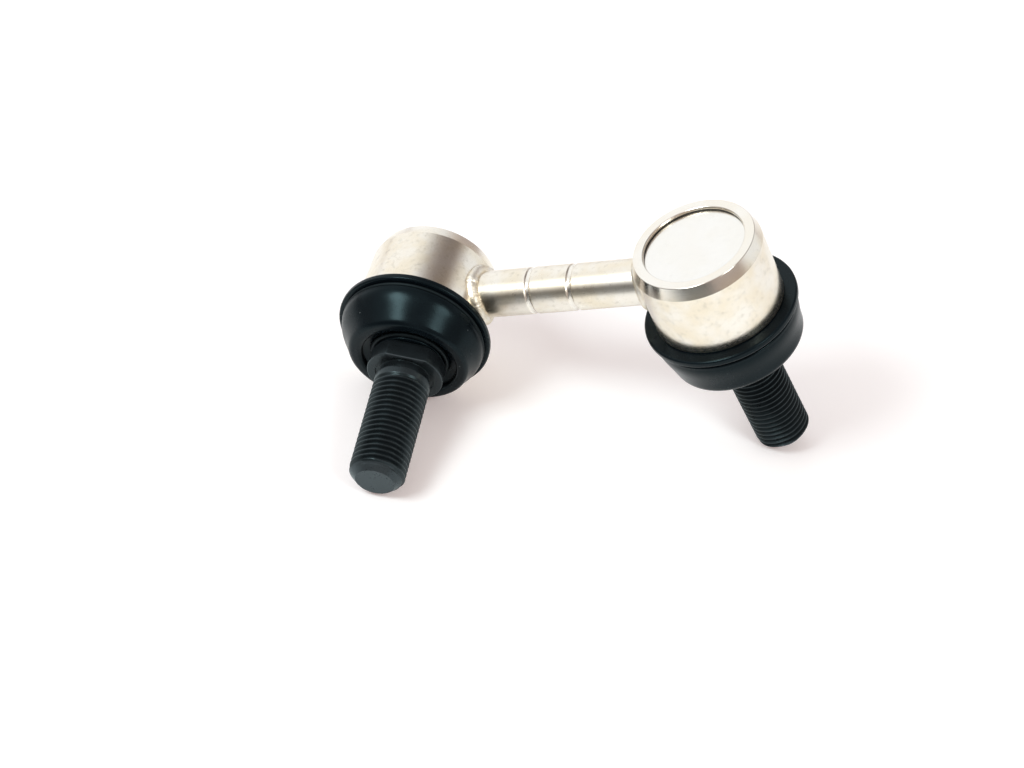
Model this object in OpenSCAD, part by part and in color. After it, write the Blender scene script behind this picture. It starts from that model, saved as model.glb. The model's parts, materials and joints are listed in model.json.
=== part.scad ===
// Stabilizer link: a short rod welded between two ball joints whose studs stand at right angles.
// Millimetres. Each end is drawn with its cover up and its stud down, with heights from the rod's axis.

/* [Rod] */
// Distance between the axes of the two ball joints
link_length = 65; // [50:0.5:300]
// Diameter of the rod
rod_d = 10; // [8:0.5:11]
// Width of each marking groove round the rod
groove_w = 1.4; // [0.5:0.1:2.5]
// Depth of each marking groove
groove_depth = 0.25; // [0.1:0.05:0.6]
// Place of the first marking groove, left of the rod's middle
groove_left = 6.4; // [2:0.1:9]
// Place of the second marking groove, right of the rod's middle
groove_right = 3.2; // [0:0.1:9]
// Thickness of the round weld bead where the rod meets a housing
weld_d = 3.2; // [2:0.1:4]

/* [Socket housing] */
// Outer diameter of the housing
housing_d = 28; // [27:0.1:32]
// Height of the rolled rim above the rod's axis
rim_top = 9.3; // [9:0.1:12]
// Width of the sloping band, seen from above
rim_inset = 0.9; // [0.4:0.1:1.5]
// Width of the rolled rim's flat face
rim_w = 2.2; // [1.5:0.1:3]
// Thickness of the rolled rim over the cover
rim_thickness = 0.9; // [0.6:0.1:1.4]
// Height of the sloping band below the rim
band_h = 2.8; // [1.5:0.1:3.5]
// Radius of the rim's outer and inner edges
rim_edge = 0.3; // [0.1:0.05:0.4]
// Depth of the neck that the dust boot grips, from the housing's side
neck_inset = 1.4; // [1:0.1:2]
// Depth of the lip below that neck, from the housing's side
lip_inset = 0.8; // [0.5:0.1:1]
// Height of that lip
boot_lip_h = 0.9; // [0.6:0.1:1.5]
// Distance from the rod's axis down to the shoulder above the boot's neck
shoulder_drop = 8.6; // [7.2:0.1:9.6]
// Thickness of the floor that holds the ball seat in, including the boot's neck and lip
floor_h = 2.5; // [2.4:0.1:3.5]

/* [Cover] */
// Width of the cover's edge under the rolled rim
cover_lap = 0.9; // [0.6:0.1:1.3]
// Thickness of the cover plate
cover_t = 1.5; // [1:0.1:2]

/* [Ball and seat] */
// Diameter of the ball
ball_d = 16; // [15:0.1:16.4]
// Thickness of the seat's crown between the ball and the cover
crown_t = 0.9; // [0.6:0.1:1.5]
// Thickness of the seat's wall beside the ball
seat_wall = 1.8; // [1.2:0.1:2.4]
// Diameter of the polar flat on the ball
ball_flat_d = 5; // [3:0.1:7]
// Largest swing of the stud to any side, in degrees
swing = 18; // [5:1:20]

/* [Stud] */
// Diameter of the neck below the ball
neck_d = 9.2; // [8:0.1:10]
// Diameter of the land that the boot's collar seals on
land_d = 12.4; // [11:0.1:12.6]
// Height of that land
land_h = 2.7; // [2.2:0.1:4]
// Diameter of the round flange
flange_d = 16.4; // [15:0.1:18]
// Thickness of the round flange
flange_h = 4; // [1.5:0.1:5]
// Height of the chamfer on the flange's upper edge
flange_edge = 0.5; // [0.2:0.1:1]
// Depth of the two spanner flats on the flange
flat_depth = 1.2; // [0.6:0.1:1.4]
// Turn of the spanner flats about the stud, from the rod's direction, in degrees
flat_turn = 116; // [0:1:180]
// Clear width between the thread and the flange's bearing face
bearing_gap = 0.4; // [0.2:0.1:0.8]
// Depth of the relief inside that bearing face
relief_h = 0.3; // [0.2:0.1:0.8]
// Outer diameter of the thread
thread_d = 12; // [10:0.5:13]
// Distance between the thread's crests
thread_pitch = 1.25; // [1:0.25:1.75]
// Depth of the thread between its crests
thread_depth = 0.7; // [0.5:0.05:0.8]
// Plain length between the undercut and the first crest
thread_runout = 2.1; // [1:0.1:4]
// Depth of the undercut between the flange and the shank
undercut_depth = 0.6; // [0.3:0.1:1.5]
// Length of that undercut
undercut_h = 1.4; // [0.5:0.1:3]
// Length of the threaded shank up to the chamfer at the tip
thread_h = 24.1; // [15:0.1:30]
// Length of the chamfer at the tip, at 45 degrees
tip_chamfer = 1.8; // [0.5:0.1:2.5]

/* [Rest] */
// Swing of the left stud as the link lies, towards the right stud's side, in degrees
left_rest_swing = 7; // [0:0.5:12]
// Swing of the right stud as the link lies, away from the rod, in degrees
right_rest_swing = 3; // [0:0.5:12]
// Width of the left boot's fold as it lies, from its mouth to the middle of its round corner
left_fold_w = 0.95; // [0.5:0.05:4]
// Width of the right boot's fold as it lies, from its mouth to the middle of its round corner
right_fold_w = 2.45; // [0.5:0.05:4]
// Depth of the left boot as it lies, from the clamp groove to its round corner's underside
left_boot_depth = 7; // [6:0.1:10]
// Depth of the right boot as it lies, from the clamp groove to its round corner's underside
right_boot_depth = 9.2; // [6:0.1:10]

/* [Dust boot] */
// Diameter of the flat rim against the housing
boot_rim_d = 33.4; // [32:0.1:35]
// Thickness of that rim
boot_rim_h = 1.5; // [1.2:0.1:3]
// Radius of the rim's edges
boot_rim_edge = 0.5; // [0.2:0.1:0.8]
// Height of the groove for the clamping ring
clamp_groove_h = 1; // [1:0.1:2]
// Thickness of the rubber wall
boot_wall = 1.6; // [1.2:0.1:2]
// Greatest diameter of the bulge, at its top
bulge_d = 31.6; // [30:0.1:34]
// Radius of the bulge's lower corner, in section
bulge_r = 2; // [1.6:0.1:3]
// Radius of the round bead at the boot's mouth, in section
bead_r = 1; // [0.8:0.1:1.2]
// Clear width between the flange and the boot's mouth
mouth_gap = 2; // [1:0.1:3]
// Thickness of the collar's wall on the stud
collar_wall = 1.3; // [1:0.1:1.6]
// Thickness of the web between the mouth and the collar
web_t = 1; // [0.8:0.1:1.5]

/* [Rings] */
// Wire diameter of the clamping ring on the housing side
clamp_wire_d = 0.8; // [0.8:0.1:1.2]
// Wire diameter of the ring on the boot's collar
clip_wire_d = 1; // [0.6:0.1:1]

/* [Fits] */
// Gap round pieces that are pressed or rolled into the housing
press_gap = 0.02; // [0.01:0.01:0.05]
// Gap between the ball and its seat, and between the stud and the boot's collar
running_gap = 0.05; // [0.02:0.01:0.08]
// Gap round the boot's bead on the housing
boot_gap = 0.1; // [0.05:0.01:0.15]
// Least clearance of the swinging neck from the housing
swing_gap = 0.5; // [0.3:0.1:1]
// Gap between the boot's collar and the flange
collar_gap = 0.3; // [0.2:0.05:0.6]

/* [Hidden] */
$fn = 96;
LEFT = -1;
RIGHT = 1;

rod_r = rod_d / 2;
weld_r = weld_d / 2;
housing_r = housing_d / 2;
rim_r = housing_r - rim_inset;
rim_opening_r = rim_r - rim_w;
boot_neck_r = housing_r - neck_inset;
boot_lip_r = housing_r - lip_inset;
cover_r = rim_opening_r + cover_lap;
ball_r = ball_d / 2;
neck_r = neck_d / 2;
land_r = land_d / 2;
flange_r = flange_d / 2;
thread_r = thread_d / 2;
bearing_r = thread_r + bearing_gap;
undercut_r = thread_r - undercut_depth;
boot_rim_r = boot_rim_d / 2;
bulge_top_r = bulge_d / 2;

// Heights in the housing, from the rim downwards
cover_top = rim_top - rim_thickness;
cover_base = cover_top - cover_t;
ball_z = cover_base - crown_t - ball_r;
seat_r = ball_r + running_gap + seat_wall;
bore_r = seat_r + press_gap;
seat_base = -shoulder_drop;
housing_base = seat_base - floor_h;
boot_lip_top = housing_base + boot_lip_h;

// Opening round the neck at a height, wide enough for the neck at full swing
function mouth_r(z) =
    let (reach = ((ball_z - z) + neck_r * sin(swing)) / cos(swing))
    reach * sin(swing) + neck_r * cos(swing) + swing_gap;

// Heights in the boot and on the stud
boot_rim_top = seat_base - boot_gap;
boot_rim_base = boot_rim_top - boot_rim_h;
groove_base = boot_rim_base - clamp_groove_h;
groove_r = boot_lip_r + boot_gap + boot_wall;
land_top = ball_z - (ball_z - housing_base + land_r * sin(swing) + swing_gap) / cos(swing);
land_base = land_top - land_h;
neck_taper = (land_r - neck_r) / 2;
flange_base = land_base - flange_h;
thread_top = flange_base - undercut_h;
thread_base = thread_top - thread_h;
tip_z = thread_base - tip_chamfer;
tip_r = thread_r - tip_chamfer;
collar_r = land_r + running_gap + collar_wall;
throat_r = flange_r + mouth_gap;
collar_top = land_top;
collar_base = land_base + collar_gap;
clamp_wire_r = clamp_wire_d / 2;
clip_wire_r = clip_wire_d / 2;
clip_r = collar_r + running_gap + clip_wire_r;
clip_z = (collar_base + collar_top - web_t) / 2;

// Thread: V-shaped rings from crest to crest, with a crest in the middle of the shank
FLANK = 30;
thread_mid = (thread_top + thread_base) / 2;
flank_w = thread_depth * tan(FLANK);
rings_above = floor((thread_h / 2 - thread_runout - flank_w) / thread_pitch + 1 / 2);
rings_below = floor((thread_h / 2 - flank_w) / thread_pitch + 1 / 2);
thread_rings = [
    for (ring = [-rings_above : rings_below - 1])
        let (z = thread_mid - (ring + 1 / 2) * thread_pitch)
        each [[thread_r, z + flank_w], [thread_r - thread_depth, z], [thread_r, z - flank_w]]
];

// Lower corner of a boot's bulge, and the slope of the side that runs from the bulge's top to touch it
function boot_base(side) = groove_base - (side == LEFT ? left_boot_depth : right_boot_depth);
function boot_corner(side) =
    [throat_r + (side == LEFT ? left_fold_w : right_fold_w), boot_base(side) + bulge_r];
function boot_slope(side) =
    let (run = [bulge_top_r, groove_base] - boot_corner(side))
    acos(bulge_r / norm(run)) - atan2(run.y, run.x);

// Turns of a direction: about an axis, from an end to the link, and by an end's swing at rest
function turn_x(v, a) = [v.x, v.y * cos(a) - v.z * sin(a), v.y * sin(a) + v.z * cos(a)];
function turn_y(v, a) = [v.x * cos(a) + v.z * sin(a), v.y, -v.x * sin(a) + v.z * cos(a)];
function end_turn(side) = side == LEFT ? -90 : 0;
function rest_turn(side) = side == LEFT ? [left_rest_swing, 0, 0] : [0, -right_rest_swing, 0];
function swung_way(side, v) = turn_y(turn_x(v, rest_turn(side).x), rest_turn(side).y);
function swung_place(side, v) = [0, 0, ball_z] + swung_way(side, v - [0, 0, ball_z]);
function link_way(side, v) = turn_x(v, end_turn(side));
function link_place(side, v) = [side * link_length / 2, 0, 0] + link_way(side, v);

// Rings that bound each end, as height, radius and roundness: those on the housing, then those that swing
still_rings = [
    [rim_top, rim_r, 0], [rim_top - band_h, housing_r, 0],
    [boot_rim_top, boot_rim_r, 0], [boot_rim_base, boot_rim_r, 0]
];
rest_ring = [boot_rim_base, boot_rim_r, 0];
thread_ring = [thread_base, thread_r, 0];
tip_ring = [tip_z, tip_r, 0];

// How far a ring reaches along a direction of the link
function reach(way, ring, middle, up) =
    middle * way + ring[1] * sqrt(max(0, 1 - (up * way) * (up * way))) + ring[2];
function still_reach(way, side, ring) =
    reach(way, ring, link_place(side, [0, 0, ring[0]]), link_way(side, [0, 0, 1]));
function swung_reach(way, side, ring) =
    let (middle = swung_place(side, [0, 0, ring[0]]), up = swung_way(side, [0, 0, 1]))
    reach(way, ring, link_place(side, middle), link_way(side, up));

// Attitude in which the link lies on a flat surface: on the left boot's rim, the left thread's end and
// the right stud's tip. The roll turns the left stud down to the surface, and the slope lowers the left end.
function way_in_link(v, roll, slope) = turn_x(turn_y(v, slope), -roll);
function settle(roll, slope, turns) =
    let (
        down = way_in_link([0, 0, -1], roll, slope),
        rim = still_reach(down, LEFT, rest_ring),
        thread = swung_reach(down, LEFT, thread_ring),
        tip = swung_reach(down, RIGHT, tip_ring)
    )
    turns == 0 ? [roll, slope]
    : settle(
        roll + (rim - thread) / (boot_rim_base - thread_base) * 180 / PI,
        slope + (tip - thread) / link_length * 180 / PI,
        turns - 1);
FIRST_ROLL = 10;
FIRST_SLOPE = 20;
SETTLE_TURNS = 60;
attitude = settle(FIRST_ROLL, FIRST_SLOPE, SETTLE_TURNS);
lie_roll = attitude[0];
lie_slope = attitude[1];

// Shift that puts the middle of the lying link's box over the origin
function far(row_way) =
    let (way = way_in_link(row_way, lie_roll, lie_slope))
    max([
        for (side = [LEFT, RIGHT]) each [
            for (ring = still_rings) still_reach(way, side, ring),
            for (ring = [thread_ring, tip_ring]) swung_reach(way, side, ring)
        ]
    ]);
lie_shift = [
    (far([-1, 0, 0]) - far([1, 0, 0])) / 2,
    (far([0, -1, 0]) - far([0, 1, 0])) / 2,
    far([0, 0, -1])
];

// Placing: the whole link as it lies, one end of it, and what swings at that end
module lie() {
    translate(lie_shift) rotate([0, -lie_slope, 0]) rotate([lie_roll, 0, 0]) children();
}

module at_end(side) {
    lie() translate([side * link_length / 2, 0, 0]) rotate([end_turn(side), 0, 0]) children();
}

module swung(side) {
    translate([0, 0, ball_z]) rotate(rest_turn(side)) translate([0, 0, -ball_z]) children();
}

// Shared shapes
module wire_ring(ring_r, wire_r, z) {
    translate([0, 0, z]) rotate_extrude() translate([ring_r, 0]) circle(wire_r, $fn = 32);
}

module rounded_bar(low, high, edge) {
    union() {
        translate([low.x, low.y + edge]) square([high.x - low.x, high.y - low.y - 2 * edge]);
        translate([low.x, low.y]) square([high.x - low.x - edge, high.y - low.y]);
        translate([high.x - edge, low.y + edge]) circle(edge, $fn = 24);
        translate([high.x - edge, high.y - edge]) circle(edge, $fn = 24);
    }
}

// Rod and its welds, along X
module rod_blank(r) {
    rotate([0, 90, 0]) cylinder(h = link_length, r = r, center = true);
}

module housing_blanks(r) {
    for (side = [LEFT, RIGHT])
        translate([side * link_length / 2, 0, 0]) rotate([end_turn(side), 0, 0])
            cylinder(h = 2 * housing_d, r = r, center = true);
}

module groove_cut(x) {
    translate([x - groove_w / 2, 0, 0]) rotate([0, 90, 0]) difference() {
        cylinder(h = groove_w, r = rod_d);
        translate([0, 0, -groove_w]) cylinder(h = 3 * groove_w, r = rod_r - groove_depth);
    }
}

module link_rod() {
    color("silver") lie() difference() {
        rod_blank(rod_r);
        housing_blanks(housing_r + press_gap);
        groove_cut(-groove_left);
        groove_cut(groove_right);
    }
}

module weld(side) {
    color("gainsboro") lie() difference() {
        translate([side * (link_length / 2 - housing_r), 0, 0]) rotate([0, 90, 0])
            rotate_extrude() translate([rod_r, 0]) circle(weld_r, $fn = 32);
        housing_blanks(housing_r + press_gap);
        rod_blank(rod_r + press_gap);
    }
}

// Turned housing: rolled rim, sloping band, straight body, neck and lip for the boot
module housing_section() {
    difference() {
        union() {
            polygon([
                [0, housing_base], [boot_lip_r, housing_base], [boot_lip_r, boot_lip_top],
                [boot_neck_r, boot_lip_top], [boot_neck_r, seat_base], [housing_r, seat_base],
                [housing_r, rim_top - band_h], [rim_r, rim_top - rim_edge],
                [rim_r - rim_edge, rim_top - rim_edge], [0, rim_top - rim_edge]
            ]);
            square([rim_r - rim_edge, rim_top]);
            translate([rim_r - rim_edge, rim_top - rim_edge]) circle(rim_edge, $fn = 24);
        }
        square([rim_opening_r, rim_top + rim_edge]);
        translate([0, cover_base]) square([cover_r + press_gap, cover_t]);
        translate([0, seat_base]) square([bore_r, cover_top - seat_base]);
        polygon([
            [0, housing_base - rim_edge], [mouth_r(housing_base), housing_base - rim_edge],
            [mouth_r(housing_base), housing_base], [mouth_r(seat_base), seat_base + rim_edge],
            [0, seat_base + rim_edge]
        ]);
    }
}

module housing(side) {
    color("whitesmoke") at_end(side) rotate_extrude() housing_section();
}

// Cover plate held under the rolled rim
module cover(side) {
    color("white") at_end(side) translate([0, 0, cover_base]) cylinder(h = cover_t, r = cover_r);
}

// Plastic ball seat that fills the housing round the ball
module ball_seat(side) {
    color("ivory") at_end(side) rotate_extrude() difference() {
        translate([0, seat_base]) square([seat_r, cover_base - seat_base]);
        translate([0, ball_z]) circle(ball_r + running_gap);
        translate([0, housing_base]) square([mouth_r(seat_base), ball_z - housing_base]);
    }
}

// Ball stud in one piece: ball, neck, sealing land, flange with spanner flats, undercut, thread, chamfered tip
module stud_section() {
    flat_h = sqrt(ball_r * ball_r - ball_flat_d * ball_flat_d / 4);
    intersection() {
        translate([0, ball_z]) circle(ball_r);
        translate([0, ball_z - ball_r]) square([ball_r, ball_r + flat_h]);
    }
    translate([0, land_top]) square([neck_r, ball_z - land_top]);
    polygon([
        [0, land_base], [land_r, land_base], [land_r, land_top],
        [neck_r, land_top + neck_taper], [0, land_top + neck_taper]
    ]);
    polygon([
        [0, land_base], [flange_r - flange_edge, land_base], [flange_r, land_base - flange_edge],
        [flange_r, flange_base], [bearing_r, flange_base],
        [bearing_r, flange_base + relief_h], [undercut_r, flange_base + relief_h],
        [undercut_r, thread_top], [thread_r, thread_top], each thread_rings, [thread_r, thread_base],
        [tip_r, tip_z], [0, tip_z]
    ]);
}

module ball_stud(side) {
    color("dimgray") at_end(side) swung(side) difference() {
        rotate_extrude() stud_section();
        for (turn = [flat_turn, flat_turn + 180])
            rotate([0, 0, turn]) translate([flange_r - flat_depth, -flange_r, flange_base - relief_h])
                cube([flange_d, flange_d, flange_h + 2 * relief_h]);
    }
}

// Rubber boot: flat rim gripping the housing, and a tapered bulge folded back to a collar that follows the stud
module boot_rim_section() {
    rounded_bar([boot_neck_r + boot_gap, boot_lip_top + boot_gap], [boot_rim_r, boot_rim_top], boot_rim_edge);
    rounded_bar([boot_lip_r + boot_gap, boot_rim_base], [boot_rim_r, boot_rim_top], boot_rim_edge);
    translate([boot_lip_r + boot_gap, groove_base - boot_wall])
        square([boot_wall, boot_rim_base - groove_base + boot_wall + boot_rim_edge]);
    rounded_bar([boot_lip_r + boot_gap, groove_base - boot_wall], [bulge_top_r, groove_base], boot_rim_edge);
}

// Outline of the bulge's side and lower corner, moved inwards by a wall
module bulge_side(side, wall) {
    slope = boot_slope(side);
    corner = boot_corner(side);
    touch = corner + (bulge_r - wall) * [cos(slope), -sin(slope)];
    rise = boot_rim_top - touch.y;
    polygon([
        [throat_r, boot_rim_top], [touch.x + rise * tan(slope), boot_rim_top], touch,
        corner, [corner.x, corner.y - bulge_r + wall], [throat_r, corner.y - bulge_r + wall]
    ]);
    translate(corner) circle(bulge_r - wall);
}

module boot_bulge_section(side) {
    bead_z = boot_base(side) + bead_r / 3;
    fold_r = throat_r + boot_wall;
    difference() {
        bulge_side(side, 0);
        bulge_side(side, boot_wall);
        translate([0, -boot_rim_d]) square([throat_r + bead_r, boot_rim_d]);
    }
    translate([throat_r + bead_r, bead_z]) circle(bead_r, $fn = 32);
    translate([throat_r, bead_z]) square([boot_wall, collar_top - bead_z]);
    translate([collar_r - collar_wall, collar_top - web_t]) square([fold_r - collar_r + collar_wall, web_t]);
    translate([collar_r - collar_wall, collar_base]) square([collar_wall, collar_top - collar_base]);
}

module boot(side) {
    color("darkslategray") at_end(side) {
        rotate_extrude() boot_rim_section();
        intersection() {
            swung(side) rotate_extrude() boot_bulge_section(side);
            translate([0, 0, groove_base - boot_rim_edge - boot_rim_d]) cylinder(h = boot_rim_d, r = boot_rim_d);
        }
    }
}

// Wire rings that hold the boot on the housing and on the stud
module boot_clamp(side) {
    color("black") at_end(side)
        wire_ring(groove_r + press_gap + clamp_wire_r, clamp_wire_r, (boot_rim_base + groove_base) / 2);
}

module boot_clip(side) {
    color("black") at_end(side) swung(side) wire_ring(clip_r, clip_wire_r, clip_z);
}

link_rod();
weld(LEFT);  // left_weld
weld(RIGHT);  // right_weld
housing(LEFT);  // left_housing
housing(RIGHT);  // right_housing
cover(LEFT);  // left_cover
cover(RIGHT);  // right_cover
ball_seat(LEFT);  // left_ball_seat
ball_seat(RIGHT);  // right_ball_seat
ball_stud(LEFT);  // left_ball_stud
ball_stud(RIGHT);  // right_ball_stud
boot(LEFT);  // left_boot
boot(RIGHT);  // right_boot
boot_clamp(LEFT);  // left_boot_clamp
boot_clamp(RIGHT);  // right_boot_clamp
boot_clip(LEFT);  // left_boot_clip
boot_clip(RIGHT);  // right_boot_clip
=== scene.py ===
"""Looks of a stabilizer link: a plated rod between two sealed ball joints, built round its packed solids."""

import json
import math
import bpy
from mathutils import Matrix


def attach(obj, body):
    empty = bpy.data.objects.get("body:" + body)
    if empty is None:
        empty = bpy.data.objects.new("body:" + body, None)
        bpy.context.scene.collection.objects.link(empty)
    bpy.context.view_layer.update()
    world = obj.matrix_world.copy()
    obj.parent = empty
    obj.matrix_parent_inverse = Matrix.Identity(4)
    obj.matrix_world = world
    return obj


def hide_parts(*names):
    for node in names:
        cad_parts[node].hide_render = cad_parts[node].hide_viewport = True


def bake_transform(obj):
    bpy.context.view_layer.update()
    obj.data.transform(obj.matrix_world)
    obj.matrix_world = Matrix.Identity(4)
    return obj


bl_info = {
    "name": "Stabilizer link",
    "version": (1, 0, 0),
    "blender": (4, 5, 0),
    "location": "View3D > Sidebar > Link",
    "description": "Builds a stabilizer link with threaded ball studs and rubber boots",
    "category": "Object",
}

from types import SimpleNamespace

import bmesh
import bpy
import numpy as np
from bpy.props import FloatProperty, FloatVectorProperty, IntProperty, PointerProperty

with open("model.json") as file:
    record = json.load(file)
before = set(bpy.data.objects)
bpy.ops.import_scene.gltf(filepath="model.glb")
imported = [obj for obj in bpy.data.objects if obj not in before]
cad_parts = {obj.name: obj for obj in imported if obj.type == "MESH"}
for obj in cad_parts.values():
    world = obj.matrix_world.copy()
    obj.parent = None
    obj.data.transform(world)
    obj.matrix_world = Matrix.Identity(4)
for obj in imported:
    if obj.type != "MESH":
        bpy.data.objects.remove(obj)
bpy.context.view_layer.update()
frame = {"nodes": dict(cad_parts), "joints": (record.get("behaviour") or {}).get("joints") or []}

MM = 0.001
SIDES = ("left", "right")
JOINTS = {joint["name"]: joint for joint in frame["joints"]}

# The ball's centre lies this far below the rod's axis, in millimetres
BALL_DROP = 2.0


# Places on the link

def unit(vector):
    vector = np.asarray(vector, float)
    return vector / np.linalg.norm(vector)


def rod_end(side):
    """Where the rod's axis meets a housing's axis"""
    joint = JOINTS[f"{side}_swing_direction"]
    return np.array(joint["pos_m"]) - BALL_DROP * MM * unit(joint["axis"])


ROD_WAY = unit(rod_end("right") - rod_end("left"))
ROD_LENGTH = float(np.linalg.norm(rod_end("right") - rod_end("left"))) / MM


class End:
    """One ball joint: X runs along the rod to the right, Z towards the cover, heights from the rod's axis"""

    def __init__(self, side):
        self.inward = 1 if side == "left" else -1
        self.ball = np.array(JOINTS[f"{side}_swing_direction"]["pos_m"])
        self.up = -unit(JOINTS[f"{side}_swing_direction"]["axis"])
        self.axes = np.array([ROD_WAY, np.cross(self.up, ROD_WAY), self.up])
        self.tilt = unit(JOINTS[f"{side}_swing"]["axis"])
        stud = unit(JOINTS[f"{side}_spin"]["axis"])
        self.rest = math.atan2(np.linalg.norm(np.cross(-self.up, stud)), -self.up @ stud)

    def place(self, points, share=0.0):
        """Points in millimetres, turned about the ball by a share of the stud's swing at rest"""
        arm = (np.asarray(points, float) + (0, 0, BALL_DROP)) @ self.axes * MM
        angle = np.broadcast_to(np.asarray(share, float) * self.rest, arm.shape[:-1])[..., None]
        along = (arm @ self.tilt)[..., None] * self.tilt
        turned = along + (arm - along) * np.cos(angle) + np.cross(self.tilt, arm) * np.sin(angle)
        return self.ball + turned

    def on_axis(self, height, share):
        return tuple(self.place((0, 0, height), share))


# Outlines and meshes

# Shares of an edge that an arc may take up, and that an arc with its straight run may
ARC_SHARE = 0.45
RUN_SHARE = 0.5

# A row this far past an edge, in millimetres, counts as beyond it
NEAR = 0.1


def rounded(corners, closed=True, steps=5, run_out=0.07):
    """Outline through corners (x, y, radius): an arc at each, with a short straight run on both sides"""
    points = []
    count = len(corners)
    for i, (x, y, radius) in enumerate(corners):
        here = np.array((x, y), float)
        if radius <= 0 or (not closed and i in (0, count - 1)):
            points.append(here)
            continue
        back = np.array(corners[i - 1][:2]) - here
        ahead = np.array(corners[(i + 1) % count][:2]) - here
        back_length, ahead_length = np.linalg.norm(back), np.linalg.norm(ahead)
        back, ahead = back / back_length, ahead / ahead_length
        half = math.acos(np.clip(back @ ahead, -1, 1)) / 2
        run = min(radius / math.tan(half), ARC_SHARE * back_length, ARC_SHARE * ahead_length)
        middle = here + unit(back + ahead) * run / math.cos(half)
        start, stop = here + back * run - middle, here + ahead * run - middle
        sweep = math.atan2(start[0] * stop[1] - start[1] * stop[0], start @ stop)
        if run + run_out < RUN_SHARE * back_length:
            points.append(here + back * (run + run_out))
        for step in range(steps + 1):
            c, s = math.cos(sweep * step / steps), math.sin(sweep * step / steps)
            points.append(middle + (c * start[0] - s * start[1], s * start[0] + c * start[1]))
        if run + run_out < RUN_SHARE * ahead_length:
            points.append(here + ahead * (run + run_out))
    return np.array(points)


def arc(centre, radius, first, last, steps):
    """Points of an arc between two angles in degrees"""
    angle = np.radians(np.linspace(first, last, steps + 1))
    return np.stack([centre[0] + radius * np.cos(angle), centre[1] + radius * np.sin(angle)], -1)


def lathe(outline, segments):
    """An outline of radius and height, swept round Z: rows of points by columns"""
    angle = np.arange(segments) * (2 * math.pi / segments)
    radius, height = outline[:, :1], outline[:, 1:2]
    return np.stack([radius * np.cos(angle), radius * np.sin(angle), height + 0 * angle], -1)


def mark_points(mesh, mark, values):
    """Puts a value on each point, for a finish to read"""
    layer = mesh.attributes.new(mark, "FLOAT", "POINT")
    layer.data.foreach_set("value", np.asarray(values, np.float32).ravel())


def ring_mesh(name, points, outline, closed, marks):
    """Mesh of a swept outline, with a map round and along it in millimetres, and marks on its rows"""
    rows, columns = points.shape[:2]
    spans = rows if closed else rows - 1
    row, column = np.arange(spans)[:, None], np.arange(columns)
    loop = np.vstack([outline, outline[:1]])
    along = np.concatenate([[0], np.cumsum(np.linalg.norm(np.diff(loop, axis=0), axis=1))])
    girth = 2 * math.pi * float(outline[:, 0].max())
    faces, flat = np.zeros((spans, columns, 4), int), np.zeros((spans, columns, 4, 2))
    for corner, (down, across) in enumerate(((0, 0), (0, 1), (1, 1), (1, 0))):
        faces[..., corner] = (row + down) % rows * columns + (column + across) % columns
        flat[..., corner, 0] = (column + across) / columns * girth
        flat[..., corner, 1] = along[row + down]
    mesh = bpy.data.meshes.new(name)
    mesh.from_pydata(points.reshape(-1, 3), [], faces.reshape(-1, 4).tolist())
    mesh.uv_layers.new(name="lathe").data.foreach_set("uv", flat.ravel())
    for mark, values in marks.items():
        mark_points(mesh, mark, np.repeat(values, columns))
    return mesh


def mesh_points(mesh):
    """A mesh's points, in millimetres"""
    flat = np.zeros(len(mesh.vertices) * 3)
    mesh.vertices.foreach_get("co", flat)
    return flat.reshape(-1, 3) / MM


def put_mesh(mesh, end, share=0.0):
    """Moves a mesh made at an end's own axes to its place"""
    mesh.vertices.foreach_set("co", end.place(mesh_points(mesh), share).ravel())
    mesh.update()


# Points closer than this, in metres, are one
SEAM_GAP = 1e-7


def finish_mesh(mesh, sharp=38):
    """Welds poles and seams, points faces outwards, and shades smooth below an angle in degrees"""
    form = bmesh.new()
    form.from_mesh(mesh)
    bmesh.ops.remove_doubles(form, verts=form.verts, dist=SEAM_GAP)
    bmesh.ops.recalc_face_normals(form, faces=form.faces)
    form.to_mesh(mesh)
    form.free()
    mesh.polygons.foreach_set("use_smooth", np.ones(len(mesh.polygons), bool))
    mesh.set_sharp_from_angle(angle=math.radians(sharp))
    mesh.update()
    return mesh


def add_piece(name, mesh, finish):
    """Puts a finished mesh in the scene with its material"""
    mesh.materials.clear()
    mesh.materials.append(finish)
    piece = bpy.data.objects.new(name, mesh)
    bpy.context.scene.collection.objects.link(piece)
    return piece


def turned_piece(name, end, outline, finish, segments, marks, closed=True, share=0.0):
    """A lathe-turned piece at one end of the link"""
    points = end.place(lathe(outline, segments), share)
    mesh = finish_mesh(ring_mesh(name, points, outline, closed, marks))
    return add_piece(name, mesh, finish)


def seat_piece(piece, body, node):
    """Makes a piece ride on its body and stand for its solid"""
    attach(piece, body)
    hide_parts(node)


# Node trees: sums on sockets are written as plain expressions

def sum_forms(operation):
    """An operator and its reflected form"""
    return (lambda self, other: self.graph.maths(operation, self, other),
            lambda self, other: self.graph.maths(operation, other, self))


class Value:
    """A socket that takes part in sums; each sum adds a Math node"""

    def __init__(self, graph, socket):
        self.graph = graph
        self.socket = socket

    def maths(self, operation, *others):
        return self.graph.maths(operation, self, *others)

    __add__, __radd__ = sum_forms("ADD")
    __sub__, __rsub__ = sum_forms("SUBTRACT")
    __mul__, __rmul__ = sum_forms("MULTIPLY")
    __truediv__, __rtruediv__ = sum_forms("DIVIDE")


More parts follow.
